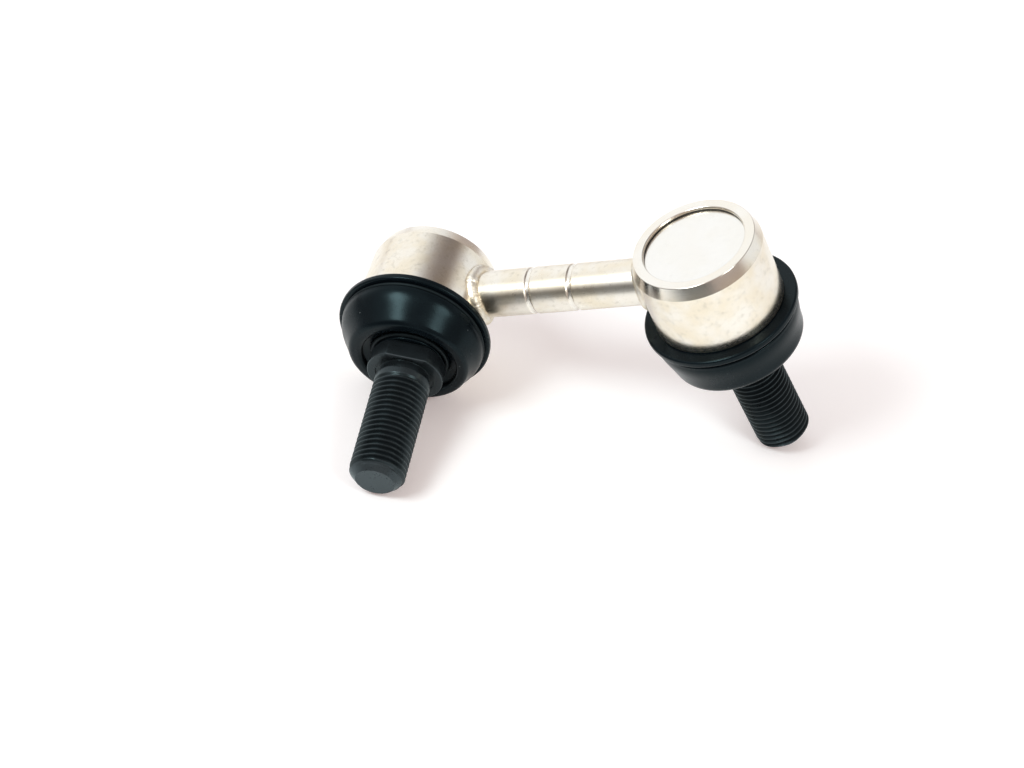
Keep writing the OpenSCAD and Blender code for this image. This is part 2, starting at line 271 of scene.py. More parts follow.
class Graph:
    """Adds nodes to a shader, world or geometry tree"""

    def __init__(self, tree):
        self.tree = tree

    def feed(self, socket, value):
        if isinstance(value, Value):
            self.tree.links.new(value.socket, socket)
        else:
            socket.default_value = value

    def node(self, kind, settings=None, inputs=None, out=0):
        """Any node: its settings first, then the values or links of its sockets"""
        made = self.tree.nodes.new(kind)
        for key, value in (settings or {}).items():
            setattr(made, key, value)
        for key, value in (inputs or {}).items():
            self.feed(made.inputs[key], value)
        return Value(self, made.outputs[out])

    def end(self, kind, name, value):
        """An output node, which closes the tree"""
        self.feed(self.tree.nodes.new(kind).inputs[name], value)

    def maths(self, operation, *terms):
        return self.node("ShaderNodeMath", {"operation": operation}, dict(enumerate(terms)))

    def noise(self, vector, scale, detail=2.0, roughness=0.5):
        return self.node("ShaderNodeTexNoise", {}, {
            "Vector": vector, "Scale": scale, "Detail": detail, "Roughness": roughness}, "Fac")

    def mix(self, factor, first, second):
        """A colour between two colours"""
        return self.node("ShaderNodeMix", {"data_type": "RGBA"}, {0: factor, 6: first, 7: second}, 2)

    def rise(self, value, low, high):
        """A smooth step from 0 at low to 1 at high"""
        return self.node("ShaderNodeMapRange", {"interpolation_type": "SMOOTHSTEP"},
                         {"Value": value, "From Min": low, "From Max": high})

    def mark(self, name):
        return self.node("ShaderNodeAttribute", {"attribute_name": name}, out="Fac")

    def stretch(self, vector, scale):
        return self.node("ShaderNodeVectorMath", {"operation": "MULTIPLY"}, {0: vector, 1: scale})

    def point(self, x, y, z):
        return self.node("ShaderNodeCombineXYZ", {}, {"X": x, "Y": y, "Z": z})

    def parts(self, vector):
        split = self.node("ShaderNodeSeparateXYZ", {}, {"Vector": vector}).socket.node
        return [Value(self, split.outputs[axis]) for axis in "XYZ"]


def rgba(colour, gain=1.0):
    return tuple(channel * gain for channel in colour) + (1.0,)


class Finish(Graph):
    """A material with one Principled shader, whose constants are set on its own sockets"""

    def __init__(self, name, plain):
        material = bpy.data.materials.new(name)
        material.use_nodes = True
        super().__init__(material.node_tree)
        self.shader = self.tree.nodes["Principled BSDF"].inputs
        for key, value in plain.items():
            self.shader[key].default_value = value
        self.here = self.node("ShaderNodeTexCoord", out="Object")

    def grain(self, scale, detail=2.0, roughness=0.5):
        return self.noise(self.here, scale, detail, roughness)

    def close(self, tone, roughness, height, strength, depth):
        """Feeds the shader, with a bump whose depth is in millimetres"""
        bump = {"Height": height, "Strength": strength, "Distance": depth * MM}
        self.feed(self.shader["Base Color"], tone)
        self.feed(self.shader["Roughness"], roughness)
        self.feed(self.shader["Normal"], self.node("ShaderNodeBump", {}, bump, "Normal"))


# Finishes

# Painted cold tints of the sheen on oiled steel and on rubber, standing in for a cool light in their
# reflections
STEEL_SHEEN = (0.7, 0.95, 1.0, 1.0)
RUBBER_SHEEN = (0.62, 0.93, 1.0, 1.0)


def zinc_finish(name, colours, patches, roughness, turned):
    """Bright zinc plating: warm and cool clouds, fine stains, turning marks, painted shade in corners and a
    darker band over the boots
    """
    warm, cool = getattr(colours, patches + "_warm"), getattr(colours, patches + "_cool")
    g = Finish(name, {"Metallic": 1.0})
    polish, grime = g.mark("polish"), g.mark("grime")
    cloud = g.rise(g.grain(170, 3.0), 0.34, 0.68)
    stain = g.grain(820, 4.0, 0.6)
    speck = g.rise(g.grain(2600), 0.66, 0.78)
    tone = g.mix(cloud, rgba(warm), rgba(cool))
    tone = g.mix(g.rise(stain, 0.5, 0.76) * 0.4 * (1 - polish), tone, rgba(warm, 0.62))
    tone = g.mix(speck * 0.15 * (1 - polish), tone, rgba(warm, 0.4))
    tone = g.mix(polish * 0.6, tone, rgba(colours.cover_warm))
    # Its mark darkens the plating: painted shade round the covers, and a darker band over the boots with a
    # ragged edge
    darkening = g.rise(grime + (stain - 0.5) * 0.9 * grime.maths("MINIMUM", 0.5), 0.15, 0.85)
    tone = g.mix(darkening, tone, rgba(colours.grime))
    gloss = roughness + (stain - 0.5) * 0.16 - polish * 0.07 + darkening * 0.2
    lathe_map = g.node("ShaderNodeUVMap", {"uv_map": "lathe"})
    lines = g.noise(g.stretch(lathe_map, (0.05, 5.0, 1.0)), 1.0, 3.0, 0.65)
    pits = g.grain(3400) * 0.35 * (1 - polish)
    g.close(tone, gloss, lines * turned + pits, 0.22, 0.03)


def weld_finish(name, colours):
    """Plated weld bead: the same zinc over a rough, pitted skin"""
    g = Finish(name, {"Metallic": 1.0})
    crust = g.grain(1500, 5.0, 0.62)
    cloud = g.rise(g.grain(420), 0.35, 0.65)
    tone = g.mix(cloud, rgba(colours.zinc_warm), rgba(colours.zinc_cool))
    tone = g.mix(g.rise(crust, 0.58, 0.76) * 0.4, tone, rgba(colours.grime))
    g.close(tone, 0.38 + crust * 0.2, crust, 0.4, 0.12)


def black_oxide_finish(name, colours):
    """Blackened steel with an oily sheen, rubbed grey on ends and edges"""
    g = Finish(name, {"Specular IOR Level": 0.4, "Specular Tint": STEEL_SHEEN})
    worn = g.mark("worn")
    cloud = g.grain(300, 3.0)
    grit = g.grain(2400, 3.0, 0.6)
    scuff = g.rise(g.grain(900, 4.0, 0.7), 0.6, 0.78)
    rub = (worn * (0.55 + 0.45 * grit) + scuff * 0.07).maths("MINIMUM", 1.0)
    black = colours.black_oxide
    tone = g.mix(g.rise(cloud, 0.3, 0.7), rgba(black, 0.8), rgba(black, 1.4))
    tone = g.mix(rub, tone, rgba(colours.rubbed_steel))
    g.feed(g.shader["Metallic"], 0.15 + worn * 0.35)
    g.close(tone, 0.3 + (grit - 0.5) * 0.12 + (cloud - 0.5) * 0.12, grit, 0.1, 0.03)


def rubber_finish(name, colours):
    """Smooth moulded rubber, with faint bloom, wiping marks and a little dust"""
    g = Finish(name, {"Specular IOR Level": 0.16, "Specular Tint": RUBBER_SHEEN})
    bloom = g.rise(g.grain(110, 3.0), 0.4, 0.75)
    skin = g.grain(3000)
    wipe = g.grain(520, 4.0, 0.65)
    dust = g.rise(g.grain(1300, 1.0), 0.79, 0.83)
    tone = g.mix(bloom * 0.6, rgba(colours.rubber), rgba(colours.rubber_bloom))
    tone = g.mix(dust * 0.5, tone, rgba(colours.dust))
    g.close(tone, 0.17 + wipe * 0.14 + bloom * 0.06 + dust * 0.3, skin * 0.4 + wipe, 0.12, 0.05)


def plastic_finish(name, colours):
    """Natural bearing plastic with a faint moulded grain"""
    g = Finish(name, {})
    grain = g.grain(2200, 3.0)
    tone = g.mix(g.grain(240), rgba(colours.seat_plastic, 0.9), rgba(colours.seat_plastic))
    g.close(tone, 0.42 + grain * 0.14, grain, 0.15, 0.04)


def wire_finish(name, colours):
    """Black spring wire with a gritty skin and small bright rubs"""
    g = Finish(name, {"Specular IOR Level": 0.25, "Specular Tint": STEEL_SHEEN})
    grit = g.grain(2600, 4.0, 0.65)
    rub = g.rise(g.grain(700, 3.0), 0.62, 0.8)
    tone = g.mix(rub * 0.1, rgba(colours.black_oxide), rgba(colours.rubbed_steel))
    g.close(tone, 0.42 + grit * 0.2, grit, 0.2, 0.03)


# Maker of each finish; a plating's colours, roughness and strength of turning marks follow its maker
FINISHES = {
    "turned_zinc": (zinc_finish, "zinc", 0.22, 0.9),
    "bar_zinc": (zinc_finish, "zinc", 0.3, 0.5),
    "cover_zinc": (zinc_finish, "cover", 0.3, 0.2),
    "weld": (weld_finish,),
    "black_oxide": (black_oxide_finish,),
    "rubber": (rubber_finish,),
    "plastic": (plastic_finish,),
    "wire": (wire_finish,),
}


def finish_of(kind):
    """The finish of that kind, made once"""
    name = "link_" + kind
    if name not in bpy.data.materials:
        maker, *settings = FINISHES[kind]
        maker(name, bpy.context.scene.link_colours, *settings)
    return bpy.data.materials[name]


# Shapes that follow a rule, as geometry trees

class Rule(Graph):
    """A geometry tree that bends a flat grid into a form; u and v run from 0 to 1 over the grid"""

    # Points closer than this, in metres, are one
    MERGE_GAP = 1e-6

    # Kinds of the inputs that are not lengths or plain numbers
    KINDS = {"Columns": "NodeSocketInt", "Rows": "NodeSocketInt", "Material": "NodeSocketMaterial"}

    def __init__(self, name, *sizes):
        super().__init__(bpy.data.node_groups.new(name, "GeometryNodeTree"))
        labels = ("Columns", "Rows", *sizes, "Material")
        new_socket = self.tree.interface.new_socket
        for label in labels:
            new_socket(label, in_out="INPUT", socket_type=self.KINDS.get(label, "NodeSocketFloat"))
        new_socket("Geometry", in_out="OUTPUT", socket_type="NodeSocketGeometry")
        entry = self.tree.nodes.new("NodeGroupInput")
        self.size = {label: Value(self, entry.outputs[label]) for label in labels}
        self.grid = self.node("GeometryNodeMeshGrid", {}, {
            "Vertices X": self.size["Columns"], "Vertices Y": self.size["Rows"]})
        self.u, self.v = self.parts(Value(self, self.grid.socket.node.outputs["UV Map"]))[:2]

    def clamp(self, value):
        return self.node("ShaderNodeClamp", {}, {"Value": value})

    def close(self, position):
        """Moves the grid's points to their place and ends the tree"""
        steps = {
            "SetPosition": {"Position": position}, "MergeByDistance": {"Distance": self.MERGE_GAP},
            "SetShadeSmooth": {}, "RealizeInstances": {}, "SetMaterial": {"Material": self.size["Material"]},
        }
        shape = self.grid
        for step, inputs in steps.items():
            shape = self.node("GeometryNode" + step, {}, {"Geometry": shape, **inputs})
        self.end("NodeGroupOutput", "Geometry", shape)

    def run(self, name, sizes):
        """Evaluates the tree with these sizes and gives a plain mesh"""
        host = bpy.data.objects.new(name, bpy.data.meshes.new(name))
        bpy.context.scene.collection.objects.link(host)
        modifier = host.modifiers.new("rule", "NODES")
        modifier.node_group = self.tree
        for item in self.tree.interface.items_tree:
            if item.in_out == "INPUT":
                modifier[item.identifier] = sizes[item.name]
        bpy.context.view_layer.update()
        seen = host.evaluated_get(bpy.context.evaluated_depsgraph_get())
        mesh = bpy.data.meshes.new_from_object(seen)
        host.modifiers.remove(modifier)
        bpy.data.objects.remove(host)
        if not mesh.polygons:
            raise RuntimeError(f"the rule for {name} made no faces")
        return mesh


# Thread: grid rows in one turn, and half a crest and a flank as shares of the pitch
ROWS_PER_TURN = 8
HALF_CREST = 0.0625
FLANK = 0.3125


def thread_rule():
    """A metric thread below a plain length, with a chamfered tip; its rows follow the helix"""
    rule = Rule(
        "thread", "Top", "Tip", "Plain", "Major Radius", "Depth", "Pitch", "Undercut Radius", "Tip Radius")
    size = rule.size
    top, tip, pitch = size["Top"], size["Tip"], size["Pitch"]
    turns = rule.v * (size["Rows"] - 1) / ROWS_PER_TURN
    height = (top - pitch * turns + pitch * rule.u).maths("MINIMUM", top).maths("MAXIMUM", tip)
    off_crest = ((turns + (0.5 - HALF_CREST)).maths("FRACT") - 0.5).maths("ABSOLUTE")
    flank = rule.clamp((off_crest - HALF_CREST) / FLANK)
    cut_in = rule.clamp((top - size["Plain"] - height) / pitch)
    radius = size["Major Radius"] - size["Depth"] * flank * cut_in
    radius = radius.maths("MINIMUM", size["Undercut Radius"] + (top - height) * 2)
    radius = radius.maths("MINIMUM", size["Tip Radius"] + (height - tip))
    angle = rule.u * (2 * math.pi)
    rule.close(rule.point(radius * angle.maths("COSINE"), radius * angle.maths("SINE"), height))
    return rule


# Weld: how fast a bead's width wanders round the bar, and the closeness of its lumps round and over it
WANDER = 2.2
LUMPS_ROUND = 9
LUMPS_OVER = 0.9


def weld_rule():
    """A weld bead between a round bar and a round housing, of uneven width and with a lumpy crust"""
    rule = Rule(
        "weld_bead", "Inward", "Bar Radius", "Housing Radius", "Bead Radius", "Unevenness", "Crust", "Seed")
    size = rule.size
    bar, housing, seed = size["Bar Radius"], size["Housing Radius"], size["Seed"]
    round_bar, round_bead = rule.u * (2 * math.pi), rule.v * (2 * math.pi)
    across, upright = round_bar.maths("COSINE"), round_bar.maths("SINE")
    wander = rule.noise(rule.point(across * WANDER, upright * WANDER, seed), 1.0, 3.0) - 0.5
    over = round_bead.maths("COSINE")
    spot = rule.point(across * LUMPS_ROUND, upright * LUMPS_ROUND, seed + over * LUMPS_OVER)
    lumps = rule.noise(spot, 1.0, 3.0, 0.6) - 0.5
    bead = size["Bead Radius"] * (1 + size["Unevenness"] * wander + size["Crust"] * lumps)
    beside = bar * across
    corner = (housing * housing - beside * beside).maths("SQRT")
    ring = bar + bead * round_bead.maths("SINE")
    rule.close(rule.point(size["Inward"] * (corner + bead * over), ring * across, ring * upright))
    return rule


# Sizes and colours that a user would change

def length(name, note, millimetres):
    return FloatProperty(name=name, description=note, default=millimetres * MM, unit="LENGTH", precision=5)


def colour(name, note, value):
    return FloatVectorProperty(name=name, description=note, default=value, subtype="COLOR", min=0, max=1)


def in_mm(group, side=""):
    """A group's lengths in millimetres; those named for this side go by their plain names too"""
    sizes = {key: getattr(group, key) / MM for key in group.__annotations__}
    own = {key.removeprefix(side + "_"): sizes[key] for key in sizes if key.startswith(side + "_")}
    return SimpleNamespace(**sizes, **own)


class LinkRodSizes(bpy.types.PropertyGroup):
    """Rod and welds"""
    rod_diameter: length("Rod diameter", "Diameter of the round bar", 10)
    groove_width: length("Groove width", "Width of each marking groove", 1.4)
    groove_depth: length("Groove depth", "Depth of each marking groove", 0.25)
    groove_left: length("Left groove", "Distance of the left groove from the rod's middle", 6.4)
    groove_right: length("Right groove", "Distance of the right groove from the rod's middle", 3.2)
    left_bead: length("Left weld bead", "Radius of the uneven bead at the left housing", 1.5)
    right_bead: length("Right weld bead", "Radius of the neat bead at the right housing", 1.1)


class LinkHousingSizes(bpy.types.PropertyGroup):
    """Socket housings and covers"""
    housing_diameter: length("Housing diameter", "Outer diameter of the turned body", 28)
    rim_diameter: length("Rim diameter", "Outer diameter of the rolled rim's face", 26.2)
    rim_opening: length("Rim opening", "Diameter of the opening that shows the cover", 21.8)
    rim_top: length("Rim height", "Height of the rim above the rod's axis", 9.3)
    rim_thickness: length("Rim thickness", "Thickness of the rolled rim over the cover", 0.9)
    band_height: length("Band height", "Height of the sloping band below the rim", 2.8)
    shoulder: length("Shoulder", "Depth of the shoulder over the boot, below the rod's axis", 8.6)
    floor_height: length("Floor", "Thickness of the floor below the ball seat", 2.5)
    bore_diameter: length("Bore", "Diameter of the bore round the ball seat", 19.74)
    mouth_top: length("Mouth top", "Diameter of the opening round the neck, at the seat", 14.96)
    mouth_base: length("Mouth base", "Diameter of that opening at the housing's underside", 16.58)
    neck_diameter: length("Boot neck", "Diameter of the neck that the boot grips", 25.2)
    lip_diameter: length("Boot lip", "Diameter of the lip that holds the boot", 26.4)
    lip_height: length("Lip height", "Height of that lip", 0.9)
    cover_diameter: length("Cover diameter", "Diameter of the cover plate", 23.6)
    cover_thickness: length("Cover thickness", "Thickness of the cover plate", 1.5)


class LinkStudSizes(bpy.types.PropertyGroup):
    """Ball studs"""
    ball_diameter: length("Ball", "Diameter of the ball", 16)
    neck_diameter: length("Neck", "Diameter of the neck below the ball", 9.2)
    land_diameter: length("Sealing land", "Diameter of the land in the boot's collar", 12.4)
    land_top: length("Land top", "Depth of the land's top below the rod's axis", 14.109)
    flange_top: length("Flange top", "Depth of the flange's top below the rod's axis", 16.809)
    flange_face: length("Flange face", "Depth of the flange's bearing face below the rod's axis", 20.809)
    flange_diameter: length("Flange", "Diameter of the round flange", 16.4)
    flange_edge: length("Flange edge", "Chamfer on the flange's upper edge", 0.5)
    flats: length("Flats", "Width across the flange's two spanner flats", 14)
    bearing_diameter: length("Bearing face", "Inner diameter of the bearing face", 12.8)
    relief: length("Relief", "Depth of the relief inside the bearing face", 0.3)
    undercut_diameter: length("Undercut", "Diameter of the undercut above the thread", 10.8)
    thread_top: length("Shank top", "Depth of the shank's start below the rod's axis", 22.209)
    plain_length: length("Plain length", "Length of the shank above the thread", 1.7)
    tip: length("Tip", "Depth of the stud's end below the rod's axis", 48.109)
    thread_diameter: length("Thread", "Outer diameter of the thread", 12)
    thread_depth: length("Thread depth", "Depth of the thread's flanks", 0.72)
    pitch: length("Pitch", "Pitch of the thread", 1.25)
    tip_diameter: length("Tip diameter", "Diameter of the flat end inside its chamfer", 8.4)


class LinkBootSizes(bpy.types.PropertyGroup):
    """Dust boots"""
    rim_diameter: length("Boot rim", "Diameter of the flat rim against the housing", 33.4)
    rim_top: length("Boot rim top", "Depth of the rim's top below the rod's axis", 8.7)
    rim_base: length("Boot rim base", "Depth of the rim's underside below the rod's axis", 10.2)
    groove_base: length("Groove base", "Depth of the clamp groove's lower edge below the rod's axis", 11.2)
    groove_diameter: length("Groove", "Diameter of the groove under the clamping ring", 29.8)
    bulge_diameter: length("Bulge", "Greatest diameter of the bulge, at its top", 31.6)
    swell: length("Swell", "Greatest swell of the bulge's side, a quarter of the way down from its top", 0.24)
    left_corner: length("Left corner", "Radius of the left bulge's lower corner in section", 1.3)
    right_corner: length("Right corner", "Radius of the right bulge's lower corner in section", 2)
    wall: length("Wall", "Thickness of the rubber", 1.6)
    mouth_diameter: length("Mouth", "Diameter of the folded mouth", 20.4)
    bead_radius: length("Bead", "Radius of the round bead at the mouth", 1)
    left_depth: length("Left depth", "Depth of the left boot's underside below the rod's axis", 17.2)
    right_depth: length("Right depth", "Depth of the right boot's underside below the rod's axis", 20.4)
    left_fold: length("Left fold", "Width of the left fold, from the mouth to the corner's middle", 1.8)
    right_fold: length("Right fold", "Width of the right fold, from the mouth to the corner's middle", 2.45)
    collar_diameter: length("Collar", "Outer diameter of the collar on the stud", 15.1)
    collar_top: length("Collar top", "Depth of the collar's top below the rod's axis", 14.12)
    collar_base: length("Collar base", "Depth of the collar's lower end below the rod's axis", 16.5)
    web: length("Web", "Thickness of the web between the mouth and the collar", 1)
    web_drop: length("Web drop", "Drop of the web from collar to throat, for room to swing", 0.8)
    fit: length("Fit", "Gap between the boot and the housing", 0.1)


class LinkColours(bpy.types.PropertyGroup):
    """Colours of the finishes"""
    zinc_warm: colour("Warm zinc", "Yellowish patches of the plating", (0.84, 0.755, 0.61))
    zinc_cool: colour("Cool zinc", "Cooler patches of the plating", (0.885, 0.835, 0.75))
    cover_warm: colour("Warm cover", "Yellowish patches of the cover plates", (0.885, 0.855, 0.8))
    cover_cool: colour("Cool cover", "Cooler patches of the cover plates", (0.9, 0.88, 0.845))
    # Colour of the painted shade in the plating's corners, of the darker band over the boots, and of the
    # weld's crust
    grime: colour("Grime", "Dark film in corners of the plating", (0.05, 0.046, 0.04))
    black_oxide: colour("Black oxide", "Blackened steel", (0.003, 0.0043, 0.0053))
    rubbed_steel: colour("Rubbed steel", "Blackened steel where it is rubbed grey", (0.1, 0.115, 0.125))
    rubber: colour("Rubber", "Moulded rubber", (0.002, 0.0035, 0.005))
    rubber_bloom: colour("Rubber bloom", "Faint bloom on the rubber", (0.005, 0.008, 0.0105))
    dust: colour("Dust", "Dust on the rubber", (0.25, 0.27, 0.27))
    seat_plastic: colour("Seat plastic", "Bearing plastic of the ball seats", (0.82, 0.79, 0.7))
    floor: colour("Floor", "Pale floor", (0.93, 0.96, 0.97))


class LinkStage(bpy.types.PropertyGroup):
    """Camera and lights"""
    camera_place: FloatVectorProperty(
        name="Camera", description="Place of the camera", subtype="XYZ", unit="LENGTH",
        default=(0.10465, -0.47273, 0.4216))
    camera_turn: FloatVectorProperty(
        name="Camera turn", description="Rotation of the camera", subtype="EULER",
        default=tuple(math.radians(a) for a in (49.845, -5.197, 18.014)))
    lens: FloatProperty(
        name="Lens", description="Focal length in millimetres, on a sensor 36 mm wide", default=105.47)
    left_lamp: FloatProperty(
        name="Left lamp", description="Power of the lamp in front on the left", default=3.3, unit="POWER")
    right_lamp: FloatProperty(
        name="Right lamp", description="Power of the lamp in front on the right", default=1.8, unit="POWER")
    sky: FloatProperty(name="Sky", description="Strength of the even light from all round", default=0.45)
    thread_columns: IntProperty(
        name="Thread columns", description="Points round each thread", default=73, min=13)


# Operators

class LINK_OT_rod(bpy.types.Operator):
    """Plated round bar with its two marking grooves"""
    bl_idname = "link.rod"
    bl_label = "Rod"

    # The bar stops this far outside the housings, under the weld beads, in millimetres
    END_GAP = 0.25

    # A groove's sloping sides: their run, and the radii at the bar's surface and at the groove's floor
    SLOPE, EDGE, FILLET = 0.32, 0.1, 0.6

    # Polish of the grooves, and points round the bar
    POLISH, SEGMENTS = 0.9, 120

    def execute(self, context):
        s, h = in_mm(context.scene.link_rod), in_mm(context.scene.link_housing)
        end = End("left")
        radius, middle = s.rod_diameter / 2, ROD_LENGTH / 2
        floor = radius - s.groove_depth
        inset = math.sqrt((h.housing_diameter / 2) ** 2 - radius ** 2) + self.END_GAP
        corners = [(0, inset, 0), (radius, inset, 0)]
        for centre in (middle - s.groove_left, middle + s.groove_right):
            low, high = centre - s.groove_width / 2, centre + s.groove_width / 2
            corners += [(radius, low, self.EDGE), (floor, low + self.SLOPE, self.FILLET),
                        (floor, high - self.SLOPE, self.FILLET), (radius, high, self.EDGE)]
        corners += [(radius, ROD_LENGTH - inset, 0), (0, ROD_LENGTH - inset, 0)]
        outline = rounded(corners, closed=False, steps=4)
        along_z = lathe(outline, self.SEGMENTS)
        points = end.place(np.stack([along_z[..., 2], along_z[..., 0], along_z[..., 1]], -1))
        in_groove = np.clip((radius - outline[:, 0]) / s.groove_depth, 0, 1) * (outline[:, 0] > 0)
        marks = {"polish": self.POLISH * in_groove, "grime": 0 * in_groove}
        mesh = finish_mesh(ring_mesh("rod_bar", points, outline, False, marks))
        seat_piece(add_piece("rod_bar", mesh, finish_of("bar_zinc")), "link", "link_rod")
        return {"FINISHED"}


class LINK_OT_welds(bpy.types.Operator):
    """Weld beads where the rod meets the housings"""
    bl_idname = "link.welds"
    bl_label = "Welds"

    # Unevenness, crust and seed of the beads
    LOOKS = {"left": (0.5, 0.22, 4.7), "right": (0.2, 0.1, 1.9)}

    # Points round the bar, and round a bead's section
    COLUMNS, ROWS = 361, 33

    def execute(self, context):
        s, h = context.scene.link_rod, context.scene.link_housing
        rule = weld_rule()
        for side, (unevenness, crust, seed) in self.LOOKS.items():
            end = End(side)
            mesh = rule.run(f"{side}_weld_bead", {
                "Columns": self.COLUMNS, "Rows": self.ROWS, "Inward": float(end.inward),
                "Bar Radius": s.rod_diameter / 2, "Housing Radius": h.housing_diameter / 2,
                "Bead Radius": getattr(s, side + "_bead"),
                "Unevenness": unevenness, "Crust": crust, "Seed": seed, "Material": finish_of("weld")})
            put_mesh(mesh, end)
            piece = add_piece(f"{side}_weld_bead", finish_mesh(mesh, sharp=60), finish_of("weld"))
            seat_piece(piece, "link", f"{side}_weld")
        return {"FINISHED"}


class LINK_OT_housings(bpy.types.Operator):
    """Turned socket housings with rolled rims"""
    bl_idname = "link.housings"
    bl_label = "Housings"

    # Room round the cover, height of the darker band over the boot, and of the painted shade line round the
    # cover
    COVER_GAP, FILM, LINE = 0.02, 1.8, 0.25

    # Heights of the rows that the darker band fades over, its reach inwards, and the strengths of that band
    # and of the painted shade line
    FILM_ROWS, FILM_REACH, FILM_GRIME, LINE_GRIME = (2, 1.5, 1, 0.5), 0.3, 0.6, 0.9

    # Radii of the edges in section, in millimetres, and points round a housing
    EDGE = SimpleNamespace(
        rim_in=0.35, rim_out=0.22, under_rim=0.12, band=0.12, shoulder=0.25, lip=0.15, mouth=0.2)
    SEGMENTS = 192

    def execute(self, context):
        s, edge = in_mm(context.scene.link_housing), self.EDGE
        body, rim, opening = s.housing_diameter / 2, s.rim_diameter / 2, s.rim_opening / 2
        pocket, bore = s.cover_diameter / 2 + self.COVER_GAP, s.bore_diameter / 2
        band, under_rim, shoulder = s.rim_top - s.band_height, s.rim_top - s.rim_thickness, -s.shoulder
        ledge, base = under_rim - s.cover_thickness, shoulder - s.floor_height
        neck, lip, lip_top = s.neck_diameter / 2, s.lip_diameter / 2, base + s.lip_height
        dark_band_rows = [(body, shoulder + step, 0) for step in self.FILM_ROWS]
        outline = rounded([
            (opening, s.rim_top, edge.rim_in), (rim, s.rim_top, edge.rim_out), (body, band, edge.band),
            *dark_band_rows, (body, shoulder, edge.shoulder), (neck, shoulder, 0), (neck, lip_top, 0),
            (lip, lip_top, edge.lip), (lip, base, edge.lip), (s.mouth_base / 2, base, edge.mouth),
            (s.mouth_top / 2, shoulder, edge.mouth), (bore, shoulder, 0), (bore, ledge, 0),
            (pocket, ledge, 0), (pocket, under_rim, 0), (opening, under_rim, edge.under_rim),
        ])
        radius, height = outline.T
        on_band = (height > band + NEAR) & (radius > opening + NEAR)
        in_opening = (radius < opening + edge.under_rim) & (height > under_rim - NEAR)
        # Painted shade: a dark line on the rim's inner wall, round the cover
        shade_line = self.LINE_GRIME * in_opening * (height < under_rim + self.LINE)
        # A darker band on the body, fading out upwards from the shoulder over the boot
        fade = np.clip((shoulder + self.FILM - height) / self.FILM, 0, 1)
        darkening = self.FILM_GRIME * fade * (radius > body - self.FILM_REACH)
        marks = {"polish": 1.0 * on_band, "grime": shade_line + darkening}
        finish = finish_of("turned_zinc")
        for side in SIDES:
            piece = turned_piece(f"{side}_socket", End(side), outline, finish, self.SEGMENTS, marks)
            seat_piece(piece, "link", f"{side}_housing")
        return {"FINISHED"}


class LINK_OT_covers(bpy.types.Operator):
    """Cover plates under the rolled rims"""
    bl_idname = "link.covers"
    bl_label = "Covers"

    # Play over and under the plate, width of the painted shade at its visible edge, and radius of its own
    # edges
    PLAY, GRIME_WIDTH, EDGE = 0.01, 0.15, 0.25

    # The face falls away from this far inside the opening, by these depths where the painted shade starts and
    # at the edge
    FALL_START, FALL_SEEN, FALL_EDGE = 1.2, 0.02, 0.03

    # Radius of a row that parts the flat face, polish and painted shade of the plate, and points round it
    INNER_ROW, POLISH, GRIME, SEGMENTS = 4, 0.8, 0.9, 128

    def execute(self, context):
        s = in_mm(context.scene.link_housing)
        radius, seen = s.cover_diameter / 2, s.rim_opening / 2
        top = s.rim_top - s.rim_thickness - self.PLAY
        base = top - s.cover_thickness + 2 * self.PLAY
        shade_start = seen - self.GRIME_WIDTH
        outline = rounded([
            (0, top, 0), (self.INNER_ROW, top, 0), (seen - self.FALL_START, top, 0),
            (shade_start, top - self.FALL_SEEN, 0), (radius, top - self.FALL_EDGE, self.EDGE),
            (radius, base, self.EDGE), (0, base, 0),
        ], closed=False)
        # Painted shade on the plate's visible edge, under the rim
        edge = np.clip((outline[:, 0] - shade_start) / self.GRIME_WIDTH, 0, 1)
        marks = {"polish": self.POLISH + 0 * edge, "grime": self.GRIME * edge}
        finish = finish_of("cover_zinc")
        for side in SIDES:
            piece = turned_piece(
                f"{side}_cover_plate", End(side), outline, finish, self.SEGMENTS, marks, closed=False)
            seat_piece(piece, "link", f"{side}_cover")
        return {"FINISHED"}


